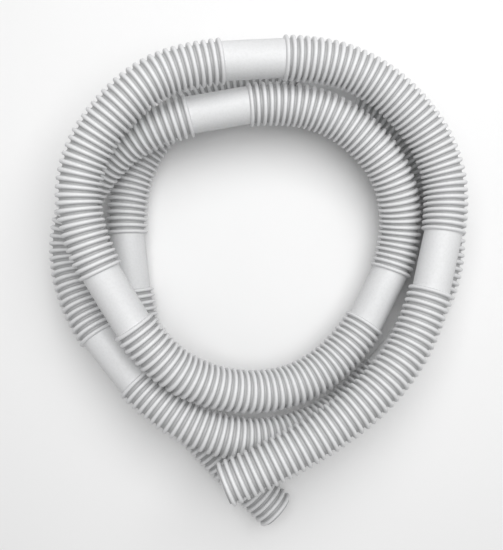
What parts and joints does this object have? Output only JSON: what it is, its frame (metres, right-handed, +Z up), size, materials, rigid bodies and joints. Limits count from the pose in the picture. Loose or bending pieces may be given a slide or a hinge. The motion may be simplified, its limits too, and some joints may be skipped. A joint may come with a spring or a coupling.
{
  "type": "cuffed vacuum hose",
  "caption": "Ridged plastic hose with smooth cuffs at even spacing, lying as a loose coil of turns, both cut ends open and crossing below the coil.",
  "frame": {"origin": "centre of the coil's footprint, on the floor that the hose lies on", "axes": "+Z up, through the height of the coil; +Y from the two free ends across the coil, its longest way; +X to the right with the free ends towards the viewer"},
  "size_m": [0.492, 0.5609, 0.1525],
  "materials": {
    "hose": "satin"
  },
  "bodies": {
    "coil": {"lower_bend": "hose", "corrugated_01": "hose", "cuff_01": "hose", "corrugated_02": "hose", "cuff_02": "hose", "corrugated_03": "hose", "cuff_03": "hose", "corrugated_04": "hose", "cuff_04": "hose", "corrugated_05": "hose", "cuff_05": "hose", "corrugated_06": "hose", "cuff_06": "hose", "corrugated_07": "hose", "cuff_07": "hose", "corrugated_08": "hose", "cuff_08": "hose", "corrugated_09": "hose", "cuff_09": "hose", "corrugated_10": "hose", "upper_bend": "hose"},
    "lower_tail": {"lower_tail": "hose", "lower_end": "hose"},
    "upper_tail": {"upper_tail": "hose", "upper_end": "hose"}
  },
  "joints": [
    {"name": "lower_end_swing", "type": "hinge", "parent": "coil", "child": "lower_tail", "pos_m": [-0.085, -0.157, 0.0246], "axis": [0, 0, 1], "range_deg": [-25, 5], "deforming": ["lower_bend"]},
    {"name": "upper_end_lift", "type": "hinge", "parent": "coil", "child": "upper_tail", "pos_m": [0.137, -0.104, 0.102], "axis": [-0.5961, 0.8029, 0], "range_deg": [0, 40], "deforming": ["upper_bend"]}
  ]
}
